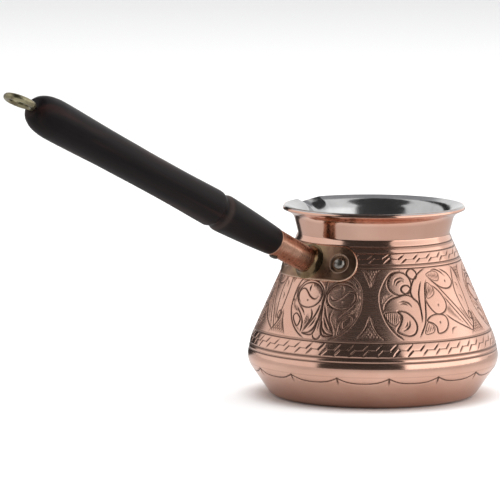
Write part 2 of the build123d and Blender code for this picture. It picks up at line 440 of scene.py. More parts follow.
def arabesque(start):
    """Curling leaves either side of a rising stem, 58 degrees wide."""
    open_lines = [
        [(15, 51.4), (9.9, 50.6), (6.9, 49), (4.5, 46.6), (2.6, 43.8), (2.2, 41.1), (2.6, 38.7),
         (3.6, 36.2), (5.2, 33.4), (7.5, 30.8), (10.2, 28.6), (13.2, 26.8)],
        [(10.5, 46.4), (11.8, 48.2), (14.6, 48.8), (17.1, 48.2)],
        [(11.6, 46.2), (12.8, 47.3), (15, 47.9), (16.8, 47.5)],
        [(4.2, 37.3), (5.4, 39.6), (8.4, 41.4), (12.4, 42.2), (15.9, 42.7), (19.4, 42.4), (22.1, 41.1),
         (24.1, 39.6), (24.6, 37.2)],
        [(12.5, 40.3), (15.4, 40.4), (18.2, 39.7), (19.8, 38.4)],
        [(13.4, 39.5), (15.6, 39.6), (17.6, 39)],
        [(17.5, 33.5), (17.2, 31.8), (15.6, 30.6), (13.6, 30)],
        [(16.2, 33), (15.9, 32), (14.6, 31.2)],
        [(33.5, 52), (28.8, 50.8), (25.1, 49.1), (22.4, 47.1), (20.8, 45), (20.3, 43.3), (21.4, 41.4),
         (23.2, 39.9)],
        [(28.3, 47.5), (26.7, 45.4), (25.4, 43.1), (24.9, 40.1), (24.9, 37.1), (24.8, 34.7),
         (24.3, 32.7)],
        [(32.1, 47.9), (30.3, 45.3), (29.1, 41.7), (28.1, 38.2), (27.3, 35.2), (26.1, 32.3),
         (24.2, 30), (21.8, 27.4)],
        [(44.5, 51.4), (48, 50.4), (51.1, 49.2), (53, 47.5), (53.2, 46), (51, 44.6), (47.4, 44),
         (43.4, 44.4), (40, 45.5), (34, 48.5)],
        [(34, 48.5), (39.4, 45.5), (42.8, 42.9), (46.8, 39.8), (50.9, 36.4), (55, 32.6), (59.5, 28)],
        [(34.5, 46), (38, 44.4), (40.7, 42.4), (42.4, 39.9), (42.2, 37.8), (40.2, 36.1), (36.8, 35.2),
         (34.2, 35.5), (31.7, 37.1), (29.8, 39.3), (29.2, 41.2)],
        [(42.4, 41.5), (45.5, 38.4), (50.4, 34.1), (56.2, 28.8)],
        [(40, 35.2), (43.4, 33.2), (48.3, 31.1), (53.5, 29.3), (58.5, 27.6)],
        [(45.2, 30.2), (42.4, 29.6), (41, 27.9)],
        [(37.5, 51.2), (41, 51.2), (45, 50.2), (48.5, 48.4)],
        [(58, 51.6), (55.3, 47.6), (53.6, 43.6), (54, 40), (56, 35.4), (59, 30.4)],
        [(59.6, 50.8), (60.8, 46.6), (61.2, 42), (61, 36.4), (60.2, 30.4)],
        [(55.8, 45.8), (57.4, 45.2), (57.8, 43.4)],
        [(56, 41.2), (57.6, 40.6), (58, 38.8)],
    ]
    closed_lines = [
        oval(14.1, 46.8, 7.3, 4.1),
        oval(17.6, 44.7, 3.0, 1.5),
        [(19.3, 50.2), (20.8, 51.6), (23.2, 52), (25.4, 51.2), (26.2, 49.9), (24.6, 48.4), (21.4, 48.6)],
        [(11.6, 36.8), (14.7, 36.8), (17.4, 35.9), (19.8, 34.3), (21.1, 32.3), (20.9, 30.3), (19.3, 28.7),
         (16.6, 28.1), (13.3, 28.6), (10.6, 29.9), (12.6, 32.6), (13.6, 35)],
        [(27.6, 33.1), (29.6, 34.5), (33, 35.2), (36.8, 35.1), (39.4, 34.4), (40.4, 32.8), (39.8, 31),
         (38, 29.5), (35.4, 28.6), (32.6, 28.6), (32.4, 30.8), (30.6, 32.2)],
        oval(60.2, 33.4, 1.5, 1.4),
    ]
    petals = [
        [(11.5, 36.6), (13.1, 35.4), (12.7, 33.9), (11, 32.4), (9.2, 31.9), (6.4, 33.2), (4.6, 36.3)],
        [(33.1, 49.4), (35.5, 50.4), (39.1, 50.7), (42.2, 50), (42.8, 48.9), (41.2, 47.2), (37, 47.6)],
        [(31.9, 46.6), (34.5, 45.9), (36, 44.2), (35.6, 42.7), (32.9, 41.5), (30.2, 41.6)],
        [(27.5, 32.3), (29.7, 32), (31, 30.9), (30.5, 29.4), (28.5, 28.6), (25.2, 28.7)],
    ]
    ground = [
        [(4.4, 42.8), (7.4, 43), (10.6, 42.9), (7.6, 42), (4.6, 39.8), (3.6, 38.8), (3.4, 41)],
        [(6.2, 47), (7.2, 49), (9.4, 50.2), (8.2, 48.4), (7, 46)],
        [(42.8, 37.4), (42, 35.6), (43.6, 34.4), (47, 33), (52, 31), (47.6, 35), (44.4, 38.8)],
        [(55, 35.8), (57.6, 33), (58.4, 31.6), (56.4, 32), (53.2, 35), (52.6, 37.4)],
    ]
    for points in open_lines:
        cut(placed_points(points, start))
    for points in closed_lines:
        cut(placed_points(points, start), closed=True)
    for points in petals:
        outline = placed_points(points, start)
        cut(outline, closed=True, width=0.5, depth=0.13)
        hatch(outline, 1.0)
    for points in ground:
        hatch(placed_points(points, start), 0.8, 0.4)
    for a, h in ((47.4, 46.8), (37, 38.6), (35.4, 32.4)):
        cut(placed_points([(a, h + 0.5), (a - 0.5, h - 0.6)], start), width=0.95)


def spandrels(middle):
    """A hatched triangle hanging from the upper rings and one standing on the lower ring."""
    hanging = [(middle - 6.2, 51.7), (middle + 6.2, 51.7), (middle + 2.2, 49.6), (middle, 45.6),
               (middle - 2.2, 49.6)]
    standing = [(middle - 6.6, 26.9), (middle + 6.6, 26.9), (middle + 2.4, 30.4), (middle, 35),
                (middle - 2.4, 30.4)]
    for outline in (hanging, standing):
        for slant in (0.9, -0.9):
            hatch(outline, 1.7, slant, smooth=False, width=0.6, depth=0.18)
    for side in (-1, 1):
        cut([(middle + 6.4 * side, 51.9), (middle + 2.5 * side, 49.8), (middle, 45.2)])
        cut([(middle + 7 * side, 26.7), (middle + 2.7 * side, 30.4), (middle, 35.4)])


def step_band(low, high, count, seed):
    """A running pattern of slanted strokes joined by short level steps."""
    choice = np.random.default_rng(seed)
    pitch = 360 / count
    middle = (low + high) / 2
    for k in range(count):
        start = k * pitch + choice.uniform(-0.05, 0.05) * pitch
        lift = choice.uniform(-0.12, 0.12)
        lower_top = (start + pitch * 0.42, middle + lift)
        upper_foot = (start + pitch * 0.96, middle + lift)
        cut([(start + pitch * 0.02, low + 0.25), lower_top], smooth=False, ends=(True, False))
        cut([lower_top, upper_foot], width=0.4, depth=0.1, smooth=False, ends=(False, False))
        cut([upper_foot, (start + pitch * 1.38, high - 0.25)], smooth=False, ends=(False, True))


def scallops(tip_height, sag, tick, count, first):
    """Swags round the lower belly, with a short tick down from each tip."""
    pitch = 360 / count
    for k in range(count):
        angle = first + k * pitch
        swag = [(angle, tip_height), (angle + pitch * 0.22, tip_height - sag * 0.78),
                (angle + pitch * 0.5, tip_height - sag), (angle + pitch * 0.78, tip_height - sag * 0.78),
                (angle + pitch, tip_height)]
        cut(swag, width=0.85, depth=0.22, ends=(False, False))
        cut([(angle, tip_height + 0.1), (angle + 0.15, tip_height - tick)], width=1.1, smooth=False,
            ends=(False, True))


def ring_line(height, width, depth):
    angles = np.arange(0, 361, 2.0)
    strokes.append((np.column_stack([angles, np.full(len(angles), height)]), width, depth, (False, False)))


FRIEZE_START = POT_FRONT - 51
for period in range(3):
    first = FRIEZE_START + 120 * period
    medallion(first)
    spandrels(first + 48)
    arabesque(first + 51)
    spandrels(first + 114)
for height in (59.9, 57.7, 53.5, 52.2, 25.5, 20.1, 18.2):
    ring_line(height, 0.8, 0.18)
for height in (59.3, 53.0, 26.1, 19.6):
    ring_line(height, 0.45, 0.08)
step_band(53.7, 57.5, 34, 3)
step_band(20.4, 25.3, 52, 4)
scallops(12.3, 2.1, 2.8, 15, POT_FRONT + 6)
ring_line(12.9, 0.35, 0.04)


def engrave(outline, places, first_row, last_row):
    """How deep each vertex of the outer face is cut, how far it moves onto a cut's middle line along
    the row and along the outline, and how much of the cut's tarnish it takes."""
    rows = last_row - first_row
    depth = np.zeros((rows, COLUMNS))
    tarnish = np.zeros((rows, COLUMNS))
    nearest = np.full((rows, COLUMNS), 9.0)
    shift_round = np.zeros((rows, COLUMNS))
    shift_up = np.zeros((rows, COLUMNS))
    radii = outline[first_row:last_row, 0]
    heights = outline[first_row:last_row, 1]
    along = places[first_row:last_row]
    pitch = 2 * pi / COLUMNS
    snap = FINE * 0.5
    for curve, width, cut_depth, ends in strokes:
        angles = np.radians(curve[:, 0])
        ups = np.interp(curve[:, 1], heights, along)
        sizes = np.interp(curve[:, 1], heights, radii)
        pieces = np.hypot(np.diff(angles) * sizes[1:], np.diff(ups))
        run = np.concatenate([[0], np.cumsum(pieces)])
        total = run[-1]
        fade = min(2.0, total * 0.45)
        for k in range(len(curve) - 1):
            size = (sizes[k] + sizes[k + 1]) / 2
            reach = width / 2 + FINE
            low = np.searchsorted(along, min(ups[k], ups[k + 1]) - reach)
            high = np.searchsorted(along, max(ups[k], ups[k + 1]) + reach)
            if high <= low or pieces[k] < 1e-9:
                continue
            left = int((min(angles[k], angles[k + 1]) - reach / size) / pitch) - 1
            right = int((max(angles[k], angles[k + 1]) + reach / size) / pitch) + 2
            columns = np.arange(left, right)
            x = (columns * pitch - angles[k])[None, :] * size
            y = (along[low:high] - ups[k])[:, None]
            dx = (angles[k + 1] - angles[k]) * size
            dy = ups[k + 1] - ups[k]
            t = np.clip((x * dx + y * dy) / pieces[k] ** 2, 0, 1)
            off_x = t * dx - x
            off_y = t * dy - y
            distance = np.hypot(off_x, off_y)
            travelled = run[k] + t * pieces[k]
            weight = np.ones_like(travelled)
            if ends[0]:
                weight = np.minimum(weight, 0.3 + 0.7 * travelled / fade)
            if ends[1]:
                weight = np.minimum(weight, 0.3 + 0.7 * (total - travelled) / fade)
            half = width / 2 * (0.5 + 0.5 * weight)
            here = cut_depth * weight * np.clip(1 - distance / half, 0, 1)
            stain = weight * np.clip(1.4 - 1.4 * distance / half, 0, 1)
            box = np.ix_(np.arange(low, high), columns % COLUMNS)
            depth[box] = np.maximum(depth[box], here)
            tarnish[box] = np.maximum(tarnish[box], stain * min(1.0, cut_depth / 0.12))
            closer = (distance < nearest[box]) & (distance < snap)
            nearest[box] = np.where(closer, distance, nearest[box])
            shift_round[box] = np.where(closer, off_x / size, shift_round[box])
            shift_up[box] = np.where(closer, off_y, shift_up[box])
            snapped = np.where(closer, cut_depth * weight, 0)
            depth[box] = np.maximum(depth[box], snapped)
    return depth, shift_round, shift_up, tarnish


# ---------------------------------------------------------------- the pot and its lining

def press_spout(points):
    """Pushes the rim out into the spout."""
    rim = pot_corners()[-1].y
    turn = radians(SPOUT_TURN)
    ahead = np.array([-sin(turn), cos(turn)])
    right = np.array([cos(turn), sin(turn)])
    forward = points[:, :2] @ ahead
    sideways = points[:, :2] @ right
    near = np.clip(np.abs(np.degrees(np.arctan2(sideways, forward))) / SPOUT_HALF_WIDTH, 0, 1)
    crease = 0.2
    away = (np.sqrt(near ** 2 + crease ** 2) - crease) / (sqrt(1 + crease ** 2) - crease)
    across = (1 - away) ** 2 * (1 + 2 * away) * 0.4 + (1 - away) ** 1.5 * 0.6
    up = np.clip((points[:, 2] - SPOUT_START) / (rim - SPOUT_START), 0, 1.2) ** 1.4
    reach = SPOUT_REACH * across * up
    spread_out = sideways / np.maximum(np.hypot(sideways, forward), 1) * 0.35
    moved = points.copy()
    moved[:, :2] += ahead * reach[:, None] + right * (spread_out * reach)[:, None]
    moved[:, 2] -= SPOUT_DROP * across * up ** 2
    return moved


def hand_raised(points):
    """The slight unevenness of a pot beaten up by hand: below 0.06 mm, and none at the belly."""
    moved = points.copy()
    angle = np.arctan2(points[:, 1], points[:, 0])
    radius = np.hypot(points[:, 0], points[:, 1])
    wave = 0.03 * np.sin(2 * angle + 0.6) + 0.02 * np.sin(5 * angle + points[:, 2] * 0.09)
    wave += 0.008 * np.sin(11 * angle + points[:, 2] * 0.31 + 1.0)
    wave *= np.clip(radius / 30, 0, 1) - 1.0 * (radius > BELLY_START)
    moved[:, 0] += np.cos(angle) * wave
    moved[:, 1] += np.sin(angle) * wave
    return moved


def lip_curve(lift, first, last, steps):
    """Points over the rounded lip, from 0 at the outer face to pi at the lining, lift mm off it."""
    start = np.array(tuple(pot_corners()[-1]))
    end = np.array(tuple(inset(pot_corners(), COPPER)[-1]))
    middle = (start + end) / 2
    out = np.array([cos(radians(RIM_RISE)), sin(radians(RIM_RISE))])
    half = COPPER / 2
    points = []
    for step in range(steps + 1):
        turn = first + (last - first) * step / steps
        reach = half * LIP_ROUNDNESS * (sin(turn) - 1) + lift
        points.append(middle + (start - middle) * cos(turn) * (1 + lift / half) + out * reach)
    return np.array(points)


def outer_spacing(radius, height):
    if height < 0.01 and radius < 34:
        return 3.0
    if height < 7:
        return 0.45
    if height < 60.8:
        return FINE
    return 0.3


def inner_spacing(radius, height):
    return 1.2 if height < 58 else 0.5


def turned_grid(outline, counts):
    """Vertices of rings with these counts, one after another, and the first index of each."""
    rings = []
    firsts = []
    first = 0
    for (radius, height), count in zip(outline, counts):
        angle = 2 * pi * np.arange(count) / count
        level = np.full(count, height)
        rings.append(np.column_stack([radius * np.cos(angle), radius * np.sin(angle), level]))
        firsts.append(first)
        first += count
    return np.concatenate(rings), firsts


def close_skin(vertices, counts, firsts, first_height, last_height):
    """Joins the rings, and closes the first and last onto a vertex on the axis at these heights."""
    faces = []
    for k in range(len(counts) - 1):
        faces += ring_faces(firsts[k], counts[k], firsts[k + 1], counts[k + 1])
    middle = len(vertices)
    for k in range(counts[0]):
        faces.append([k, middle, (k + 1) % counts[0]])
    last = firsts[-1]
    for k in range(counts[-1]):
        faces.append([last + k, last + (k + 1) % counts[-1], middle + 1])
    ends = np.array([[0, 0, first_height], [0, 0, last_height]])
    return np.concatenate([vertices, ends]), [face[::-1] for face in faces]


def build_shell():
    outline, places = resample(pot_outline(0), outer_spacing)
    outline = outline[1:]
    places = places[1:]
    counts = [COLUMNS if radius > 32 or height > 1 else COLUMNS // 4 for radius, height in outline]
    rows = [k for k in range(len(outline)) if 7.5 < outline[k, 1] < 60.5 and outline[k, 0] > 28]
    first_row, last_row = rows[0], rows[-1] + 1
    depth, shift_round, shift_up, tarnish = engrave(outline, places, first_row, last_row)
    outside, firsts = turned_grid(outline, counts)

    slopes = np.gradient(outline, axis=0)
    slopes /= np.hypot(slopes[:, 0], slopes[:, 1])[:, None]
    stain = np.zeros(len(outside))
    for row in range(first_row, last_row):
        k = row - first_row
        angle = 2 * pi * np.arange(COLUMNS) / COLUMNS + shift_round[k]
        radius = outline[row, 0] + slopes[row, 0] * shift_up[k] - slopes[row, 1] * depth[k]
        height = outline[row, 1] + slopes[row, 1] * shift_up[k] + slopes[row, 0] * depth[k]
        ring = slice(firsts[row], firsts[row] + COLUMNS)
        outside[ring, 0] = radius * np.cos(angle)
        outside[ring, 1] = radius * np.sin(angle)
        outside[ring, 2] = height
        stain[ring] = tarnish[k]

    # the lip is rolled round, and the inside face lies against the lining
    outside[firsts[-1]:] = turned_grid([lip_curve(0, 0, 1, 1)[0]], [COLUMNS])[0]
    lip = lip_curve(0, pi / 8, pi * 7 / 8, 6)
    hidden = resample(pot_outline(COPPER)[::-1], inner_spacing)[0][:-1]
    hidden_counts = [COLUMNS] * 2 + [COLUMNS // 4] * (len(hidden) - 2)
    more, more_firsts = turned_grid(np.concatenate([lip, hidden]), [COLUMNS] * len(lip) + hidden_counts)
    all_counts = counts + [COLUMNS] * len(lip) + hidden_counts
    all_firsts = firsts + [len(outside) + first for first in more_firsts]
    vertices = np.concatenate([outside, more])
    vertices = press_spout(vertices)
    vertices = hand_raised(vertices)
    vertices, faces = close_skin(vertices, all_counts, all_firsts, 0, COPPER)
    piece = make_piece("pot_shell_copper", vertices, faces, sharp=32)
    point_attribute(piece, "groove", np.concatenate([stain, np.zeros(len(vertices) - len(stain))]))
    return piece


def build_lining():
    wet = resample(pot_outline(TIN_FACE + TIN)[::-1], lambda r, h: 0.9 if h < 58 else 0.3)[0][1:-1]
    back = resample(pot_outline(TIN_FACE), lambda r, h: 2.0 if h < 58 else 0.6)[0][1:-1]
    count = COLUMNS // 2
    # the tin runs out over the upper part of the lip to a thin edge
    under = lip_curve(-0.05, pi * 0.98, TIN_OVER_LIP, 5)
    over = lip_curve(0.035, TIN_OVER_LIP, pi * 0.98, 5)
    outline = np.concatenate([back, under, over, wet])
    counts = [count] * len(outline)
    vertices, firsts = turned_grid(outline, counts)
    vertices = press_spout(vertices)
    vertices = hand_raised(vertices)
    vertices, faces = close_skin(vertices, counts, firsts, TIN_FACE, TIN_FACE + TIN)
    return make_piece("tin_lining_wiped", vertices, faces, sharp=50)


# ---------------------------------------------------------------- plate and rivets

def on_wall(along, up, lift):
    """A point at along mm round the wall from the handle and up mm up its slope, lift mm off it."""
    lean = radians(WALL_LEAN)
    height = PLATE_HEIGHT + up * cos(lean) + lift * sin(lean)
    radius = wall_radius(PLATE_HEIGHT) - up * sin(lean) + lift * cos(lean)
    angle = pi - along / (wall_radius(PLATE_HEIGHT) + PLATE_THICKNESS / 2)
    return (radius * cos(angle), radius * sin(angle), height)


def rivet_place():
    return radians(RIVET_ANGLE) * (wall_radius(PLATE_HEIGHT) + PLATE_THICKNESS / 2)


def build_plate():
    centre = rivet_place()
    rings = 46
    around = 260
    straight = 2 * centre
    vertices = []
    worn = []
    braze_stain_and_reflection = []
    for layer in ("top", "bottom"):
        for ring in range(rings + 1):
            size = PLATE_HALF_WIDTH * (1 - ring / rings) + 0.03
            length = 2 * pi * PLATE_HALF_WIDTH + 2 * straight
            for k in range(around):
                place = length * k / around
                quarter = pi * PLATE_HALF_WIDTH
                if place < straight:
                    x, y = -centre + place, size
                elif place < straight + quarter:
                    turn = (place - straight) / PLATE_HALF_WIDTH
                    x, y = centre + size * sin(turn), size * cos(turn)
                elif place < 2 * straight + quarter:
                    x, y = centre - (place - straight - quarter), -size
                else:
                    turn = (place - 2 * straight - quarter) / PLATE_HALF_WIDTH
                    x, y = -centre - size * sin(turn), -size * cos(turn)
                # mask of the yellow patch round the braze: brass stain and painted reflection
                braze_stain_and_reflection.append(1 / (1 + exp((sqrt(x * x + (y - 1.0) ** 2) - 8.6) / 0.35)))
                if layer == "bottom":
                    vertices.append(on_wall(x, y, PLATE_GAP))
                    worn.append(0.0)
                    continue
                edge = PLATE_HALF_WIDTH - size
                bevel = 0.55
                drop = 0.42 * max(0.0, 1 - edge / bevel) ** 2
                seat = min(sqrt((x - centre) ** 2 + y ** 2), sqrt((x + centre) ** 2 + y ** 2))
                dimple = 0.32 / (1 + exp((seat - 3.2) / 0.12))
                rim = 0.10 * exp(-((seat - 3.75) / 0.3) ** 2)
                uneven = 0.05 * noise.noise(Vector((x * 0.35, y * 0.35, 3.0)))
                lift = PLATE_THICKNESS - drop - dimple + rim - 0.03 + uneven
                vertices.append(on_wall(x, y, lift))
                worn.append(max(exp(-(edge / 0.3) ** 2), 0.8 * exp(-((seat - 3.65) / 0.22) ** 2)))
    layer_size = (rings + 1) * around
    faces = []
    for ring in range(rings):
        faces += ring_faces(ring * around, around, (ring + 1) * around, around)
        below = layer_size + ring * around
        faces += [face[::-1] for face in ring_faces(below, around, below + around, around)]
    faces += [face[::-1] for face in ring_faces(0, around, layer_size, around)]
    for first, flip in ((rings * around, False), (layer_size + rings * around, True)):
        inner = [first + k for k in range(around)]
        faces.append(inner[::-1] if flip else inner)
    piece = make_piece("handle_plate_strap", vertices, faces, sharp=40)
    point_attribute(piece, "worn", worn)
    point_attribute(piece, "braze_stain_and_reflection", braze_stain_and_reflection)
    return piece


def wall_frame(angle):
    """Frame on the wall at a rivet, z straight out of the wall."""
    lean = radians(WALL_LEAN)
    turn = pi + radians(angle)
    radius = wall_radius(PLATE_HEIGHT)
    origin = Vector((radius * cos(turn), radius * sin(turn), PLATE_HEIGHT))
    out = Vector((cos(turn) * cos(lean), sin(turn) * cos(lean), sin(lean)))
    side = Vector((-sin(turn), cos(turn), 0))
    rotation = Matrix((side, out.cross(side), out)).transposed().to_4x4()
    return Matrix.Translation(origin) @ rotation


def build_rivet(name, angle, seed):
    seat = PLATE_THICKNESS - 0.36
    inside = -RIVET_GRIP
    profile = [(0, inside - RIVET_TAIL_HEIGHT)]
    for step in range(1, 9):
        turn = pi / 2 * step / 8
        profile.append((RIVET_TAIL * sin(turn), inside - RIVET_TAIL_HEIGHT * cos(turn)))
    profile += [(RIVET_TAIL * 0.985, inside), (RIVET_SHANK, inside + 0.02), (RIVET_SHANK, seat)]
    profile += [(RIVET_HEAD * 0.96, seat + 0.02), (RIVET_HEAD, seat + 0.14)]
    top = PLATE_THICKNESS + RIVET_HEAD_HEIGHT
    for step in range(1, 13):
        turn = pi / 2 * step / 12
        profile.append((RIVET_HEAD * cos(turn) ** 0.9 if step < 12 else 0, seat + 0.14
                        + (top - seat - 0.2) * sin(turn)))
    profile[-1] = (0, profile[-1][1])

    def hammered(turn, height, radius):
        place = Vector((radius * cos(turn), radius * sin(turn), height + seed * 7.0))
        return 0.10 * noise.noise(place * 0.9) * min(1.0, radius)

    vertices, faces = lathe(profile, 56, wall_frame(angle), hammered)
    return make_piece(name, vertices, faces, sharp=50)


# ---------------------------------------------------------------- handle

def handle_frame():
    """Frame at the foot of the handle: z along it, x level, y towards the underside."""
    rise = radians(HANDLE_RISE)
    foot = wall_frame(0) @ Vector((0, 0, PLATE_THICKNESS))
    along = Vector((-cos(rise), 0, sin(rise)))
    level = Vector((0, 1, 0))
    rotation = Matrix((level, along.cross(level), along)).transposed().to_4x4()
    return Matrix.Translation(foot) @ rotation


HANDLE = handle_frame()


def above_plate(point):
    """How far a point in the handle's frame stands above the plate's outer face."""
    place = HANDLE @ point
    lean = radians(WALL_LEAN)
    radius = sqrt(place.x ** 2 + place.y ** 2)
    return (radius - wall_radius(place.z)) * cos(lean) - PLATE_THICKNESS


def build_socket():
    """A tapered tube with a rolled mouth.  It is closed: outside, mouth, bore and foot."""
    start = -0.7
    outside = [(SOCKET_FOOT - 0.02, start)]
    for step in range(1, 40):
        t = step / 40
        outside.append((SOCKET_FOOT + (SOCKET_MOUTH - SOCKET_FOOT) * t - 0.02, SOCKET_LENGTH * t))
    mouth = []
    for step in range(9):
        turn = pi * step / 8
        mouth.append((SOCKET_MOUTH - 0.45 + 0.45 * cos(turn), SOCKET_LENGTH - 0.35 + 0.35 * sin(turn)))
    bore = [(SOCKET_BORE + 0.01, SOCKET_LENGTH - 0.8), (SOCKET_BORE + 0.01, start)]
    profile = outside + mouth + bore
    segments = 128
    vertices = []
    for radius, height in profile:
        for k in range(segments):
            turn = 2 * pi * k / segments
            place = Vector((cos(turn), sin(turn), height * 0.16))
            dent = 0.05 * noise.noise(place * 1.7) if radius > SOCKET_BORE + 0.1 else 0
            point = Vector(((radius + dent) * cos(turn), (radius + dent) * sin(turn), height))
            vertices.append(tuple(HANDLE @ point))
    faces = stacked_faces(len(profile), segments, closed=True)
    return make_piece("handle_socket_tube", vertices, faces, sharp=45)


def build_braze():
    """A hollow-curved fillet of braze between plate and socket."""
    segments = 128
    steps = 10
    vertices = []
    for step in range(steps + 3):
        for k in range(segments):
            turn = 2 * pi * k / segments
            ragged = 1 + 0.03 * noise.noise(Vector((cos(turn) * 2, sin(turn) * 2, 5.0)))
            t = min(step / steps, 1.0)
            reach = (BRAZE_RADIUS * ragged - SOCKET_FOOT) * (1 - t) ** 1.9
            radius = SOCKET_FOOT + 0.02 + reach
            height = BRAZE_HEIGHT * t ** 1.6
            # two steps bring the point close to the plate's face
            foot = Vector((radius * cos(turn), radius * sin(turn), 0))
            foot.z -= above_plate(foot)
            foot.z -= above_plate(foot)
            blend = (1 - t) ** 0.7
            z = foot.z * blend + height
            if step == steps + 1:
                radius, z = SOCKET_FOOT - 0.2, BRAZE_HEIGHT
            if step == steps + 2:
                radius = SOCKET_FOOT - 0.2
                z = foot.z - 0.5
            if step == 0:
                z = foot.z - 0.05
            vertices.append(tuple(HANDLE @ Vector((radius * cos(turn), radius * sin(turn), z))))
    faces = stacked_faces(steps + 3, segments, closed=True)
    return make_piece("braze_fillet_ring", vertices, faces, sharp=60)


def wood_profile():
    """The turned grip, as radius and distance from the mouth of the socket."""
    shoulder = 5.4
    collar = 7.15
    profile = [(0, -TENON), (SOCKET_BORE - 0.05, -TENON), (SOCKET_BORE - 0.02, -0.02)]
    profile += [(shoulder - 0.35, 0.0), (shoulder - 0.08, 0.12), (shoulder, 0.4)]
    for distance, radius in arc((0.4, shoulder), (28.0, collar), 0.16, 26)[1:]:
        profile.append((radius, distance))
    profile += [(collar - 0.10, 28.7), (collar - 0.32, 29.3), (collar - 0.60, 30.1)]
    profile += [(collar - 0.95, 31.1), (collar - 1.02, 31.7), (collar - 0.92, 32.1)]
    profile += [(collar - 0.42, 32.9), (collar - 0.16, 33.4), (collar - 0.03, 33.9)]
    grip = smooth_curve([(34.2, collar), (49, 6.9), (69, 6.8), (94, 7.08), (108, 7.42), (116.5, 7.58),
                         (120.5, 7.52), (124.5, 6.9), (127.3, 5.8), (129.0, 4.5), (129.7, 3.3)], steps=9)
    for distance, radius in grip:
        profile.append((radius, distance))
    profile += [(2.4, WOOD_LENGTH - 0.02), (1.2, WOOD_LENGTH - 0.03), (0, WOOD_LENGTH - 0.04)]
    return [(radius, SOCKET_LENGTH + distance) for radius, distance in profile]


def build_wood():
    def turned_by_hand(turn, height, radius):
        if radius < SOCKET_BORE + 0.1:
            return 0
        place = Vector((cos(turn) * 0.8, sin(turn) * 0.8, height * 0.045))
        return -0.05 + 0.05 * noise.noise(place * 2.2)

    profile = wood_profile()
    segments = 128
    vertices, faces = lathe(profile, segments, HANDLE, turned_by_hand)
    piece = make_piece("wood_handle_grip", vertices, faces, sharp=42)
    worn = []
    for radius, height in profile[1:-1]:
        distance = height - SOCKET_LENGTH
        rubbed = exp(-((distance - 29.6) / 0.9) ** 2) + 0.35 * exp(-((distance - 0.2) / 0.4) ** 2)
        worn += [rubbed] * segments
    point_attribute(piece, "worn", worn + [0.0, 0.0])
    return piece


def build_screw():
    """A slotted domed head on a short shank, seen under the mouth of the socket."""
    shank = 0.8
    length = 5.0
    head = 1.68
    rise = 0.7
    place = HANDLE @ Matrix.Translation((0, SOCKET_MOUTH, SOCKET_LENGTH - SCREW_PLACE))
    place = place @ Matrix.Rotation(radians(-90), 4, "X")
    profile = [(0, -length), (shank * 0.5, -length + 0.4), (shank, -length + 1.2), (shank, -0.12)]
    profile += [(head - 0.05, -0.1), (head, 0.0)]
    for step in range(1, 11):
        turn = pi / 2 * step / 10
        profile.append((head * cos(turn), (rise - 0.1) * sin(turn)))
    profile[-1] = (0, rise - 0.1)
    vertices, faces = lathe(profile, 48)
    dome = make_piece("socket_screw_slotted", vertices, faces)
    slot_vertices = []
    for x in (-2.5, 2.5):
        for y in (-0.24, 0.24):
            for z in (0.18, 2.0):
                slot_vertices.append((x, y, z))
    slot_faces = [[0, 1, 3, 2], [4, 6, 7, 5], [0, 4, 5, 1], [2, 3, 7, 6], [0, 2, 6, 4], [1, 5, 7, 3]]
    slot = make_piece("slot_cutter", slot_vertices, slot_faces)
    cutter = dome.modifiers.new("slot", "BOOLEAN")
    cutter.operation = "DIFFERENCE"
    cutter.solver = "EXACT"
    cutter.object = slot
    graph = bpy.context.evaluated_depsgraph_get()
    cut_mesh = bpy.data.meshes.new_from_object(dome.evaluated_get(graph))
    dome.modifiers.clear()
    dome.data = cut_mesh
    bpy.data.objects.remove(slot)
    cut_mesh.transform(Matrix.Scale(MM, 4) @ place @ Matrix.Scale(1 / MM, 4))
    cut_mesh.shade_smooth()
    cut_mesh.set_sharp_from_angle(angle=radians(35))
    return dome


def sweep(path, radii, segments):
    """A closed tube along the path."""
    points = [Vector(p) for p in path]
    vertices = []
    normal = Vector((1, 0, 0))
    for i, point in enumerate(points):
        before = points[max(i - 1, 0)]
        after = points[min(i + 1, len(points) - 1)]
        tangent = (after - before).normalized()
        normal = (normal - tangent * normal.dot(tangent)).normalized()
        side = tangent.cross(normal)
        for k in range(segments):
            turn = 2 * pi * k / segments
            vertices.append(point + (normal * cos(turn) + side * sin(turn)) * radii[i])
    vertices += [points[0], points[-1]]
    return vertices, stacked_faces(len(points), segments) + end_fans(len(points), segments)


def build_eye():
    """Thick wire bent round to an eye that bears on the wood, its other end screwed in."""
    end = SOCKET_LENGTH + WOOD_LENGTH
    centre = end + EYE_REACH
    foot = centre - EYE_RING
    path = []
    radii = []
    depth = EYE_SHANK - 0.2
    shank_steps = 50
    for step in range(shank_steps):
        height = end - depth + (depth - 0.6) * step / shank_steps
        thread = 0.12 * (0.5 + 0.5 * sin(2 * pi * height / 1.1))
        tip = min(1.0, 0.35 + 0.65 * step / 12)
        path.append((0, 0, height))
        radii.append((EYE_WIRE - 0.02) * tip - thread)
    start = radians(-64)
    ring_steps = 100
    turned = Vector((EYE_RING * cos(start), 0, centre + EYE_RING * sin(start)))
    for step in range(1, 9):
        t = step / 9
        straight = Vector((0, 0, end - 0.6))
        corner = Vector((0, 0, foot))
        path.append(tuple(straight.lerp(corner, t).lerp(corner.lerp(turned, t), t)))
        radii.append(EYE_WIRE - 0.02)
    for step in range(ring_steps + 1):
        turn = start + radians(318) * step / ring_steps
        path.append((EYE_RING * cos(turn), 0, centre + EYE_RING * sin(turn)))
        radii.append(EYE_WIRE - 0.02)
    for shrink in (0.9, 0.7, 0.4):
        last = Vector(path[-1])
        step = (last - Vector(path[-2])).normalized() * 0.2
        path.append(tuple(last + step))
        radii.append(EYE_WIRE * shrink)
    vertices, faces = sweep(path, radii, 28)
    return make_piece("hanging_eye_wire", [tuple(HANDLE @ v) for v in vertices], faces, sharp=55)


# ---------------------------------------------------------------- materials

# A Mix node's sockets when it mixes colours
MIX_FACTOR, MIX_FIRST, MIX_SECOND, MIX_RESULT = 0, 6, 7, 2


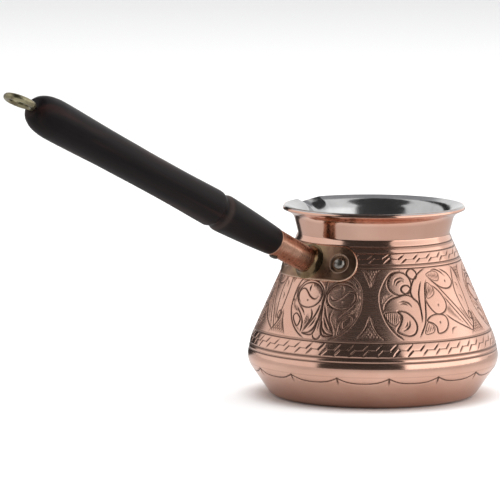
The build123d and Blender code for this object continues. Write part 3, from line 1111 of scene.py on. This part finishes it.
def feed(tree, socket, value):
    """Links a socket to another one, or gives it a constant."""
    if isinstance(value, bpy.types.NodeSocket):
        tree.links.new(value, socket)
    elif socket.type == "RGBA":
        socket.default_value = (*value, 1)
    else:
        socket.default_value = value


def node(tree, kind, inputs=None, **settings):
    made = tree.nodes.new(kind)
    for name, value in settings.items():
        setattr(made, name, value)
    for name, value in (inputs or {}).items():
        feed(tree, made.inputs[name], value)
    return made


def coordinates(tree, scale=(1, 1, 1), rotation=(0, 0, 0)):
    """Object coordinates, turned and then stretched."""
    place = node(tree, "ShaderNodeTexCoord").outputs["Object"]
    turned = node(tree, "ShaderNodeMapping", {"Vector": place, "Rotation": rotation}).outputs["Vector"]
    return node(tree, "ShaderNodeMapping", {"Vector": turned, "Scale": scale}).outputs["Vector"]


def separated(tree, vector):
    """The outputs X, Y and Z of a vector."""
    return node(tree, "ShaderNodeSeparateXYZ", {"Vector": vector}).outputs


def noise_at(tree, vector, scale, detail=4.0, roughness=0.55, distortion=0.0):
    inputs = {"Vector": vector, "Scale": scale, "Detail": detail, "Roughness": roughness,
              "Distortion": distortion}
    return node(tree, "ShaderNodeTexNoise", inputs).outputs["Fac"]


def spread(tree, value, low, high, to_low=0.0, to_high=1.0):
    """The range low to high of a value, mapped onto to_low to to_high."""
    inputs = {"Value": value, "From Min": low, "From Max": high, "To Min": to_low, "To Max": to_high}
    return node(tree, "ShaderNodeMapRange", inputs).outputs["Result"]


def math(tree, operation, first, second):
    return node(tree, "ShaderNodeMath", {0: first, 1: second}, operation=operation).outputs["Value"]


def mix_colour(tree, factor, first, second):
    inputs = {MIX_FACTOR: factor, MIX_FIRST: first, MIX_SECOND: second}
    return node(tree, "ShaderNodeMix", inputs, data_type="RGBA").outputs[MIX_RESULT]


def attribute_value(tree, name):
    return node(tree, "ShaderNodeAttribute", attribute_name=name).outputs["Fac"]


def new_material(name, metallic=1.0):
    material = bpy.data.materials.new(name)
    material.use_nodes = True
    tree = material.node_tree
    shader = tree.nodes["Principled BSDF"]
    shader.inputs["Metallic"].default_value = metallic
    return material, tree, shader


def finish_surface(tree, shader, tint, roughness, relief, strength, distance):
    """Gives the shader its colour, roughness and bump."""
    inputs = {"Height": relief, "Strength": strength, "Distance": distance}
    raised = node(tree, "ShaderNodeBump", inputs).outputs["Normal"]
    for name, value in (("Base Color", tint), ("Roughness", roughness), ("Normal", raised)):
        feed(tree, shader.inputs[name], value)


def cloudy_metal(name, cloud, bounds, dark, light, polish, relief):
    """A metal whose colour, roughness and relief follow one noise."""
    material, tree, shader = new_material(name)
    clouds = noise_at(tree, coordinates(tree), *cloud)
    tint = mix_colour(tree, spread(tree, clouds, *bounds), dark, light)
    finish_surface(tree, shader, tint, spread(tree, clouds, 0.3, 0.7, *polish), clouds, *relief)
    return material


def copper_material():
    """Bright copper with spinning marks, a duller frieze, and tarnish in the cuts."""
    material, tree, shader = new_material("copper_engraved")
    even = coordinates(tree)
    cloud = noise_at(tree, even, 55, 3)
    fine = noise_at(tree, coordinates(tree, (12, 12, 1800)), 1.0, 5, 0.65)
    scratch = noise_at(tree, coordinates(tree, (260, 260, 2600), (0.35, 0.2, 0)), 1.0, 4, 0.7)
    tint = mix_colour(tree, spread(tree, cloud, 0.3, 0.7), (0.75, 0.435, 0.33), (0.82, 0.515, 0.405))
    groove = attribute_value(tree, "groove")
    worked = math(tree, "MULTIPLY", groove, spread(tree, cloud, 0.2, 0.8, 0.85, 1.0))
    tint = mix_colour(tree, worked, tint, (0.06, 0.03, 0.02))
    height = separated(tree, even)["Z"]
    frieze = math(tree, "MULTIPLY", spread(tree, height, *FRIEZE_FOOT), spread(tree, height, *FRIEZE_TOP))
    polish = spread(tree, fine, 0.25, 0.75, 0.11, 0.17)
    polish = math(tree, "ADD", polish, math(tree, "MULTIPLY", frieze, 0.13))
    polish = math(tree, "ADD", polish, math(tree, "MULTIPLY", groove, 0.25))
    relief = math(tree, "ADD", math(tree, "MULTIPLY", fine, 0.2), math(tree, "MULTIPLY", scratch, 0.4))
    finish_surface(tree, shader, tint, polish, relief, 0.11, 0.00008)
    return material


def socket_material():
    """Duller copper, browned by the fire near its foot."""
    material, tree, shader = new_material("copper_socket")
    even = coordinates(tree)
    cloud = noise_at(tree, even, 170, 4, 0.6, 0.4)
    rings = noise_at(tree, coordinates(tree, (40, 40, 700), ALONG_HANDLE), 1.0, 4)
    tint = mix_colour(tree, spread(tree, cloud, 0.3, 0.7), (0.46, 0.245, 0.168), (0.56, 0.325, 0.235))
    fired = spread(tree, separated(tree, even)["X"], -0.0435, -0.0365, 0.0, 0.75)
    tint = mix_colour(tree, fired, tint, (0.22, 0.12, 0.075))
    relief = math(tree, "ADD", cloud, math(tree, "MULTIPLY", rings, 0.4))
    finish_surface(tree, shader, tint, spread(tree, rings, 0.3, 0.7, 0.22, 0.32), relief, 0.10, 0.0001)
    return material


def tin_material():
    """Wiped tin: bright, cloudy, with long soft streaks."""
    material, tree, shader = new_material("tin_wiped")
    cloud = noise_at(tree, coordinates(tree), 70, 4, 0.6, 0.6)
    streak = noise_at(tree, coordinates(tree, (160, 160, 700), (0.2, 0.1, 0)), 1.0, 4, 0.6)
    tint = mix_colour(tree, spread(tree, cloud, 0.3, 0.7), (0.49, 0.49, 0.49), (0.62, 0.62, 0.615))
    relief = math(tree, "ADD", cloud, math(tree, "MULTIPLY", streak, 0.4))
    finish_surface(tree, shader, tint, spread(tree, streak, 0.25, 0.75, 0.10, 0.24), relief, 0.22, 0.00025)
    return material


def plate_material():
    """Dark fired copper, yellow round the braze, which is brass stain with painted reflection, and bright
    where handling has worn its edges.
    """
    material, tree, shader = new_material("plate_copper_fired")
    even = coordinates(tree)
    cloud = noise_at(tree, even, 160, 5, 0.6, 0.5)
    grit = noise_at(tree, even, 1500, 4)
    fired = mix_colour(tree, spread(tree, cloud, 0.35, 0.68), (0.17, 0.095, 0.06), (0.40, 0.24, 0.16))
    patchy = spread(tree, cloud, 0.3, 0.6, 0.3, 0.9)
    # yellow patch round the braze: brass stain and painted reflection
    braze_stain_and_reflection = math(tree, "MULTIPLY", attribute_value(tree, "braze_stain_and_reflection"), patchy)
    fired = mix_colour(tree, braze_stain_and_reflection, fired, (0.33, 0.225, 0.13))
    rubbed = spread(tree, grit, 0.25, 0.6, 0.55, 1.0)
    worn = math(tree, "MULTIPLY", attribute_value(tree, "worn"), rubbed)
    tint = mix_colour(tree, worn, fired, (0.86, 0.60, 0.46))
    relief = math(tree, "ADD", cloud, math(tree, "MULTIPLY", grit, 0.3))
    finish_surface(tree, shader, tint, spread(tree, cloud, 0.3, 0.7, 0.22, 0.42), relief, 0.25, 0.0002)
    return material


def rivet_material():
    return cloudy_metal("rivet_metal_peened", (420, 4, 0.6, 0.4), (0.3, 0.7), (0.15, 0.135, 0.12),
                        (0.42, 0.39, 0.36), (0.18, 0.38), (0.4, 0.0003))


def braze_material():
    return cloudy_metal("braze_brassy", (320, 5, 0.6, 0.5), (0.35, 0.65), (0.13, 0.083, 0.045),
                        (0.24, 0.16, 0.088), (0.17, 0.27), (0.25, 0.0002))


def steel_material():
    return cloudy_metal("dark_steel_screw", (600, 4), (0.3, 0.7), (0.05, 0.045, 0.04),
                        (0.16, 0.14, 0.125), (0.3, 0.5), (0.3, 0.0001))


def brass_material():
    return cloudy_metal("eye_brass_dull", (260, 5, 0.6, 0.3), (0.35, 0.68), (0.20, 0.165, 0.105),
                        (0.50, 0.46, 0.29), (0.22, 0.42), (0.35, 0.0002))


def wood_material():
    """Near-black stained wood with reddish streaks and open pores, under a thin satin finish."""
    material, tree, shader = new_material("dark_wood_satin", metallic=0.0)
    grain = noise_at(tree, coordinates(tree, (170, 170, 10), ALONG_HANDLE), 1.0, 6, 0.6, 0.8)
    pores = noise_at(tree, coordinates(tree, (1500, 1500, 70), ALONG_HANDLE), 1.0, 4, 0.7)
    patch = noise_at(tree, coordinates(tree, (110, 110, 15), ALONG_HANDLE), 1.0, 3, 0.5, 0.4)
    figure = spread(tree, grain, 0.35, 0.7)
    tint = mix_colour(tree, figure, (0.0045, 0.0033, 0.0040), (0.0125, 0.0080, 0.0082))
    tint = mix_colour(tree, spread(tree, patch, 0.5, 0.66, 0.0, 0.75), tint, (0.028, 0.0115, 0.0095))
    tint = mix_colour(tree, attribute_value(tree, "worn"), tint, (0.040, 0.027, 0.023))
    tint = mix_colour(tree, spread(tree, pores, 0.62, 0.72, 0.0, 0.7), tint, (0.004, 0.0028, 0.0028))
    shader.inputs["Specular IOR Level"].default_value = 0.12
    relief = math(tree, "SUBTRACT", math(tree, "MULTIPLY", grain, 0.5), math(tree, "MULTIPLY", pores, 0.6))
    finish_surface(tree, shader, tint, spread(tree, grain, 0.3, 0.7, 0.36, 0.50), relief, 0.35, 0.00012)
    return material


def floor_material():
    """Pale for the camera, and darker in reflections: painted light keeps it lighter near the pot than
    away from it, and painted shade darkens it under the dark gap.
    """
    material, tree, shader = new_material("studio_floor", metallic=0.0)
    cloud = noise_at(tree, coordinates(tree), 3.0, 2)
    pale = mix_colour(tree, cloud, (0.92, 0.92, 0.92), (0.93, 0.93, 0.93))
    length = node(tree, "ShaderNodeVectorMath", {0: coordinates(tree)}, operation="LENGTH")
    away = length.outputs["Value"]
    # painted light: in reflections the floor is lighter near the pot, against the pot's contact shadow
    mirrored = mix_colour(tree, spread(tree, away, 0.05, 0.14), (0.68, 0.68, 0.68), (0.44, 0.44, 0.44))
    # painted shade: in reflections the floor is dark under the studio's dark gap
    parts = separated(tree, coordinates(tree, rotation=(0, 0, -radians(POT_FRONT))))
    side = math(tree, "ARCTAN2", parts["Y"], parts["X"])
    after_first = spread(tree, side, radians(-163), radians(-160))
    before_last = spread(tree, side, radians(-138), radians(-141))
    gap = math(tree, "MULTIPLY", after_first, before_last)
    gap = math(tree, "MULTIPLY", gap, spread(tree, away, 0.10, 0.16))
    mirrored = mix_colour(tree, gap, mirrored, (0.03, 0.03, 0.03))
    seen = node(tree, "ShaderNodeLightPath").outputs["Is Glossy Ray"]
    feed(tree, shader.inputs["Base Color"], mix_colour(tree, seen, pale, mirrored))
    shader.inputs["Roughness"].default_value = 0.9
    shader.inputs["Specular IOR Level"].default_value = 0.0
    return material


# ---------------------------------------------------------------- studio

def build_floor():
    rim = 64
    vertices = [(0, 0, 0)]
    for k in range(rim):
        turn = 2 * pi * k / rim
        vertices.append((FLOOR_RADIUS * cos(turn), FLOOR_RADIUS * sin(turn), 0))
    faces = [[0, 1 + k, 1 + (k + 1) % rim] for k in range(rim)]
    mesh = bpy.data.meshes.new("studio_floor")
    mesh.from_pydata(vertices, [], faces)
    floor = bpy.data.objects.new("studio_floor", mesh)
    floor.location.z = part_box("pot_shell")[0].z - FLOOR_GAP
    bpy.context.scene.collection.objects.link(floor)
    floor.data.materials.append(floor_material())


def build_world():
    """Soft boxes all round, with a dark gap between two of them and a grey ceiling behind."""
    world = bpy.data.worlds.new("studio")
    bpy.context.scene.world = world
    world.use_nodes = True
    tree = world.node_tree
    seen_at = node(tree, "ShaderNodeTexCoord").outputs["Generated"]
    inputs = {"Vector": seen_at, "Angle": -radians(POT_FRONT)}
    direction = node(tree, "ShaderNodeVectorRotate", inputs, rotation_type="Z_AXIS").outputs["Vector"]
    parts = separated(tree, direction)
    # near the zenith the pattern runs straight on from the front, so that its edges stay parallel
    raised = math(tree, "MAXIMUM", math(tree, "SUBTRACT", parts["Z"], ZENITH_START), 0.0)
    ahead = math(tree, "ADD", parts["X"], math(tree, "MULTIPLY", raised, ZENITH_PULL))
    side = math(tree, "ARCTAN2", parts["Y"], ahead)
    strip = node(tree, "ShaderNodeValToRGB", {"Fac": spread(tree, side, -pi, pi)})
    ramp = strip.color_ramp
    while len(ramp.elements) < len(STUDIO):
        ramp.elements.new(0.5)
    for element, (degrees_right, light) in zip(ramp.elements, STUDIO):
        element.position = (degrees_right + 180) / 360
        element.color = (light, light, light, 1)
    # the brightest softbox fades upwards
    limit = spread(tree, parts["Z"], 0.25, 0.6, SOFTBOX_LIGHT, 1.0)
    walls = math(tree, "MINIMUM", strip.outputs["Color"], limit)
    height = radians(CEILING_HEIGHT)
    inputs = {0: direction, 1: (-cos(height), 0, sin(height))}
    toward = node(tree, "ShaderNodeVectorMath", inputs, operation="DOT_PRODUCT").outputs["Value"]
    edges = cos(radians(CEILING_REACH)), cos(radians(CEILING_REACH - CEILING_BLUR))
    light = mix_colour(tree, spread(tree, toward, *edges), walls, CEILING_LIGHT)
    seen = node(tree, "ShaderNodeLightPath").outputs["Is Camera Ray"]
    feed(tree, tree.nodes["Background"].inputs["Color"], mix_colour(tree, seen, light, (1.0, 1.0, 1.0)))


def build_lights():
    """A wide soft light overhead that only brightens the floor and the tops."""
    data = bpy.data.lights.new("overhead", "AREA")
    data.shape = "DISK"
    data.size = LAMP_SIZE
    data.energy = LAMP_POWER
    lamp = bpy.data.objects.new("overhead", data)
    lamp.location = (0, 0, LAMP_HEIGHT)
    lamp.visible_glossy = False
    lamp.visible_camera = False
    bpy.context.scene.collection.objects.link(lamp)


def build_camera():
    azimuth = radians(CAMERA_AZIMUTH)
    elevation = radians(CAMERA_ELEVATION)
    roll = radians(CAMERA_ROLL)
    right = Vector((cos(azimuth), sin(azimuth), 0))
    ahead = Vector((-sin(azimuth), cos(azimuth), 0))
    forward = ahead * cos(elevation) - Vector((0, 0, sin(elevation)))
    up = ahead * sin(elevation) + Vector((0, 0, cos(elevation)))
    rolled_right = right * cos(roll) + up * sin(roll)
    rolled_up = up * cos(roll) - right * sin(roll)
    aim = right * CAMERA_AIM_ALONG + Vector((0, 0, CAMERA_AIM_HEIGHT))
    data = bpy.data.cameras.new("camera")
    data.lens = CAMERA_LENS
    data.sensor_width = 36
    camera = bpy.data.objects.new("camera", data)
    rotation = Matrix((rolled_right, rolled_up, -forward)).transposed().to_4x4()
    camera.matrix_world = Matrix.Translation(aim - forward * CAMERA_DISTANCE) @ rotation
    bpy.context.scene.collection.objects.link(camera)
    bpy.context.scene.camera = camera


# ---------------------------------------------------------------- assembly

def place(piece, material, cad_node, slot_name):
    piece.data.materials.clear()
    piece.data.materials.append(material)
    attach(piece, "root")
    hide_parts(cad_node)


rivets = rivet_material()
place(build_shell(), copper_material(), "pot_shell", "copper")
place(build_lining(), tin_material(), "tin_lining", "tin")
place(build_plate(), plate_material(), "handle_plate", "plate_copper")
place(build_socket(), socket_material(), "handle_socket", "socket_copper")
place(build_braze(), braze_material(), "braze_fillet", "braze")
place(build_rivet("rivet_left_peened", -RIVET_ANGLE, 1), rivets, "rivet_left", "rivet_metal")
place(build_rivet("rivet_right_peened", RIVET_ANGLE, 2), rivets, "rivet_right", "rivet_metal")
place(build_wood(), wood_material(), "wood_handle", "dark_wood")
place(build_screw(), steel_material(), "socket_screw", "dark_steel")
place(build_eye(), brass_material(), "hanging_eye", "eye_brass")

build_floor()
build_world()
build_lights()
build_camera()
bpy.context.scene.view_settings.view_transform = "Standard"
